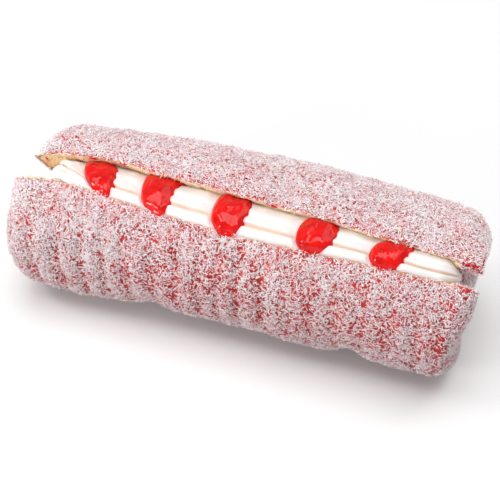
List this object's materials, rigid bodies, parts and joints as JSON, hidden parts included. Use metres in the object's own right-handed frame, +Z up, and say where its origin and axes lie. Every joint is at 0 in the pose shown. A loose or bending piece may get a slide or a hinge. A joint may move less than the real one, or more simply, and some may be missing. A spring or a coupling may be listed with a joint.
{
  "type": "lamington cake roll",
  "caption": "Sponge cake roll coated in fruit jelly and coconut, split lengthwise, filled with piped whipped cream and topped with jam dollops, for serving whole.",
  "frame": {"origin": "centre of the bounding box's bottom face, on the surface the roll rests on", "axes": "+X along the roll toward the end where the cream runs out to a point, +Y toward the hinged back, +Z up through the crown"},
  "size_m": [0.2399, 0.1017, 0.0791],
  "materials": {
    "coated_sponge": "soft sponge soaked in raspberry jelly and covered with fine white and pink coconut, golden crumb on the cut faces",
    "whipped_cream": "smooth piped whipped cream with lengthwise star-tube ridges",
    "raspberry_jam": "wet glossy raspberry jam"
  },
  "bodies": {
    "root": {"sponge_roll": "coated_sponge", "cream_filling": "whipped_cream", "jam_dollop_1": "raspberry_jam", "jam_dollop_2": "raspberry_jam", "jam_dollop_3": "raspberry_jam", "jam_dollop_4": "raspberry_jam", "jam_dollop_5": "raspberry_jam"}
  },
  "joints": []
}
